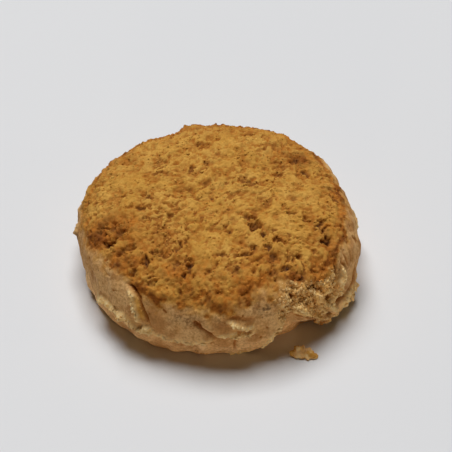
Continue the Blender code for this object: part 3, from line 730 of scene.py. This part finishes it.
def clinging(name, count, weight, size, stretch, sunk, tilt, roughness, shape, own_masks):
    """Many small lumps in one mesh, each at a random corner of the biscuit, likelier where weight is high:
    balls of a number of rings and segments (shape), stretched, each corner pushed in or out by up to
    roughness, spun at random, leaning by up to tilt, and sunk in by a share of their size. They carry their
    host's colour masks, apart from their own, which are drawn at random between two values."""
    ways, quads, triangles = ball(*shape)
    hosts = random.choice(len(weight), count, replace=False, p=weight / weight.sum())
    up = normals[hosts] + tilt * random.uniform(-1, 1, (count, 3))
    up /= np.linalg.norm(up, axis=1)[:, None]
    side = np.cross(up, random.normal(size=(count, 3)))
    side /= np.linalg.norm(side, axis=1)[:, None]
    turned = np.stack([side, np.cross(up, side), up], axis=1)
    sizes = size[0] + (size[1] - size[0]) * random.random(count) ** 2.2
    spread = np.array(stretch) * random.uniform(0.75, 1.25, (count, 3))
    rough = random.uniform(1 - roughness, 1 + roughness, (count, len(ways)))
    local = ways[None] * rough[..., None] * (sizes[:, None] * spread)[:, None]
    middles = shaped[hosts] + normals[hosts] * (sizes * stretch[2] * (1 - 2 * sunk))[:, None]
    places = middles[:, None] + np.einsum("nvk,nkj->nvj", local, turned)
    step = (np.arange(count) * len(ways))[:, None, None]
    carried = {label: np.repeat(values[hosts], len(ways)) for label, values in masks.items()}
    for label, (least, most) in own_masks.items():
        carried[label] = np.repeat(random.uniform(least, most, count), len(ways))
    places = places.reshape(-1, 3)
    places[:, 2] = np.maximum(places[:, 2], CLEARANCE)
    quads, triangles = (quads[None] + step).reshape(-1, 4), (triangles[None] + step).reshape(-1, 3)
    piece = make_mesh(name, places, quads, triangles, carried, dough)
    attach(piece, "root")


# The crumbs' own hollow and depth values, drawn at random, darken each of them by some painted shade.
clear = (under == 0) * 1.0
tip = 1.5 * oval(angle, plain[:, 2], TIP_PLACE, TIP_HALF)
tuft = oval(angle, plain[:, 2], TUFT_PLACE, TUFT_HALF)
clinging(
    "crust_granules", GRANULES, clear * masks["crust"] * (1 - 0.7 * masks["dark"]), GRANULE_SIZE,
    stretch=(1, 0.9, 0.7), sunk=0.84, tilt=0.2, roughness=0.1, shape=(2, 6),
    own_masks={"grain_and_crest_light": (0, 1), "hollow_shade": (0, 0.15)},
)
clinging(
    "corner_crumbs", CORNER_CRUMBS, clear * (masks["torn"] + tip), CORNER_CRUMB_SIZE,
    stretch=(1.35, 0.85, 0.6), sunk=0.5, tilt=0.7, roughness=0.4, shape=(4, 7),
    own_masks={"cream": (0, 0.8), "depth_shade": (0, 0.7), "hollow_shade": (0, 0.12)},
)
clinging(
    "torn_flakes", FLAKES, clear * np.clip(masks["cream"] - 0.35, 0, 1) ** 1.5, FLAKE_SIZE,
    stretch=(1.3, 0.8, 0.4), sunk=0.5, tilt=0.4, roughness=0.35, shape=(4, 7),
    own_masks={"cream": (0.5, 1.0), "hollow_shade": (0, 0.1)},
)
clinging(
    "hanging_crumbs", HANGING_CRUMBS, clear * tuft, HANGING_CRUMB_SIZE,
    stretch=(1.2, 0.85, 0.8), sunk=0.0, tilt=0.8, roughness=0.45, shape=(4, 7),
    own_masks={"torn": (0.7, 1), "cream": (0, 0.7), "depth_shade": (0, 0.9), "hollow_shade": (0, 0.5)},
)

# The loose crumb. A bit of the crust's edge that broke off and lies on the table in front of the biscuit,
# flat side down: a lump of a few lobes, rough all over, part crust and part torn dough.
CRUMB_PLACE = (15.3, -24.0)
CRUMB_TURN = math.radians(-10)
CRUMB_FLATNESS = 0.35  # how deep its lower half is, as a share of its plain depth
CRUMB_RINGS, CRUMB_SEGMENTS = 60, 90
# The lobes that it is made of: middle x, y, z and radius.
CRUMB_LOBES = [
    (-1.5, -0.25, -0.1, 0.75), (-0.9, 0.2, 0.15, 0.95), (-0.1, 0.1, 0.25, 1.05), (0.9, 0.0, 0.1, 0.95),
    (1.6, -0.3, -0.2, 0.75), (-0.8, -0.45, -0.1, 0.7), (0.1, -0.6, -0.1, 0.75), (1.0, -0.6, -0.2, 0.7),
    (1.9, -0.1, -0.3, 0.6),
]


def lobed(ways, lobes):
    """How far a lump of several balls reaches in each direction from its middle: the farthest of the points
    where the direction leaves one of the balls."""
    reach = np.full(len(ways), 0.5)
    for x, y, z, radius in lobes:
        middle = np.array([x, y, z])
        along = ways @ middle
        inside = along**2 - middle @ middle + radius**2
        reach = np.maximum(reach, np.where(inside > 0, along + np.sqrt(np.maximum(inside, 0)), 0))
    return reach


ways, quads, triangles = ball(CRUMB_RINGS, CRUMB_SEGMENTS)
crumb_soft = ways * lobed(ways, CRUMB_LOBES)[:, None]
lump = 1 + 0.12 * lumps(crumb_soft, 0.9, 90) + 0.17 * lumps(crumb_soft, 0.5, 97)
lump += 0.1 * (0.6 - grains(crumb_soft, 0.4, 98)[0])
along_x, along_y, crumb_z = (crumb_soft * lump[:, None]).T
crumb_x = CRUMB_PLACE[0] + (along_x * math.cos(CRUMB_TURN) - along_y * math.sin(CRUMB_TURN))
crumb_y = CRUMB_PLACE[1] + (along_x * math.sin(CRUMB_TURN) + along_y * math.cos(CRUMB_TURN))
crumb_z = np.where(crumb_z > 0, crumb_z, CRUMB_FLATNESS * crumb_z)
crumb_places = np.stack([crumb_x, crumb_y, crumb_z - crumb_z.min()], axis=-1)
crumb_number = grains(crumb_places, 0.5, 93)[2]
crumb_masks = {
    "crust": smooth(0.5 + 0.7 * lumps(crumb_places, 1.3, 94) + 0.4 * ways[:, 2]),
    "scorch": 0.25 * smooth(0.6 * lumps(crumb_places, 1.0, 95)),
    "dark": np.zeros(len(ways)),
    # Painted shade in the dents between the crumb's lumps.
    "hollow_shade": 0.2 * smooth(-0.6 - 4.0 * (lump - 1)),
    "cream": 0.75 * smooth(0.3 + 0.9 * lumps(crumb_places, 0.8, 96)),
    "torn": smooth(0.25 - 0.8 * ways[:, 2]),
    # Lighter ochre all over, partly random by grain and partly painted light, as the crumb lies in the
    # biscuit's shadow.
    "grain_and_crest_light": 0.6 + 0.4 * crumb_number,
    "depth_shade": 0.2 * crumb_number,
    "smudge": np.zeros(len(ways)),
    # Its pale parts paler: painted light, as the crumb lies in the biscuit's shadow.
    "foot": np.full(len(ways), 0.6),
}
loose_crumb = make_mesh("loose_crumb", crumb_places, quads, triangles, crumb_masks, dough)
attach(loose_crumb, "root")

# The floor, the lights and the camera. The floor is a plain pale table top, and the light is broad and soft,
# from above and behind on the left, with two weak warm lights low in front and on the right. The camera looks
# down on the biscuit's front at 43 degrees. Lengths here are metres.
FLOOR_HALF = 3.0
AIM_HEIGHT = 0.008  # the lights and the camera point at the middle of the biscuit, this far up
floor_mesh = bpy.data.meshes.new("floor")
corners = [(x * FLOOR_HALF, y * FLOOR_HALF, 0) for x, y in ((-1, -1), (1, -1), (1, 1), (-1, 1))]
floor_mesh.from_pydata(corners, [], [(0, 1, 2, 3)])
floor = bpy.data.objects.new("floor", floor_mesh)
bpy.context.scene.collection.objects.link(floor)
table = Graph("table_top")
table.put(table.shader.inputs["Base Color"], (0.70, 0.705, 0.715, 1))
table.put(table.shader.inputs["Roughness"], 0.6)
floor_mesh.materials.append(table.material)


def area_light(name, place, size, watts, colour):
    """A square soft light at a place, turned to shine at the biscuit and not seen itself."""
    light = bpy.data.lights.new(name, "AREA")
    light.size, light.energy, light.color = size, watts, colour
    lamp = bpy.data.objects.new(name, light)
    bpy.context.scene.collection.objects.link(lamp)
    lamp.location = place
    lamp.visible_camera = False
    lamp.rotation_euler = (Vector((0, 0, AIM_HEIGHT)) - Vector(place)).to_track_quat("-Z", "Y").to_euler()


area_light("window", (-0.18, 0.78, 2.0), 1.3, 51.8, (0.985, 0.99, 1.0))
area_light("front_fill", (-0.18, -1.28, 0.07), 0.12, 2.85, (1.0, 0.78, 0.54))
area_light("right_fill", (1.26, -0.2, 0.06), 0.1, 2.5, (1.0, 0.82, 0.56))
world = bpy.data.worlds.new("room")
world.use_nodes = True
world.node_tree.nodes["Background"].inputs["Color"].default_value = (1.0, 0.74, 0.46, 1)
world.node_tree.nodes["Background"].inputs["Strength"].default_value = 0.016
bpy.context.scene.world = world
bpy.context.scene.view_settings.view_transform = "Standard"

CAMERA_RISE = math.radians(43.0)
CAMERA_DISTANCE = 0.360
PHOTO_SIZE = 452  # pixels
FOCAL_PIXELS = 1966.0
SENSOR_WIDTH = 36.0  # millimetres
TARGET_PIXEL = (216.7, 229.0)  # where the photograph shows the point AIM_HEIGHT above the base's middle
forward = Vector((0, math.cos(CAMERA_RISE), -math.sin(CAMERA_RISE)))
upward = Vector((0, math.sin(CAMERA_RISE), math.cos(CAMERA_RISE)))
pixel = CAMERA_DISTANCE / FOCAL_PIXELS
aim = Vector((0, 0, AIM_HEIGHT)) + Vector((1, 0, 0)) * (PHOTO_SIZE / 2 - TARGET_PIXEL[0]) * pixel
aim += upward * (TARGET_PIXEL[1] - PHOTO_SIZE / 2) * pixel
camera = bpy.data.objects.new("camera", bpy.data.cameras.new("camera"))
bpy.context.scene.collection.objects.link(camera)
camera.location = aim - forward * CAMERA_DISTANCE
camera.rotation_euler = forward.to_track_quat("-Z", "Y").to_euler()
camera.data.sensor_width = SENSOR_WIDTH
camera.data.lens = SENSOR_WIDTH * FOCAL_PIXELS / PHOTO_SIZE
camera.data.clip_start = 0.01
bpy.context.scene.camera = camera
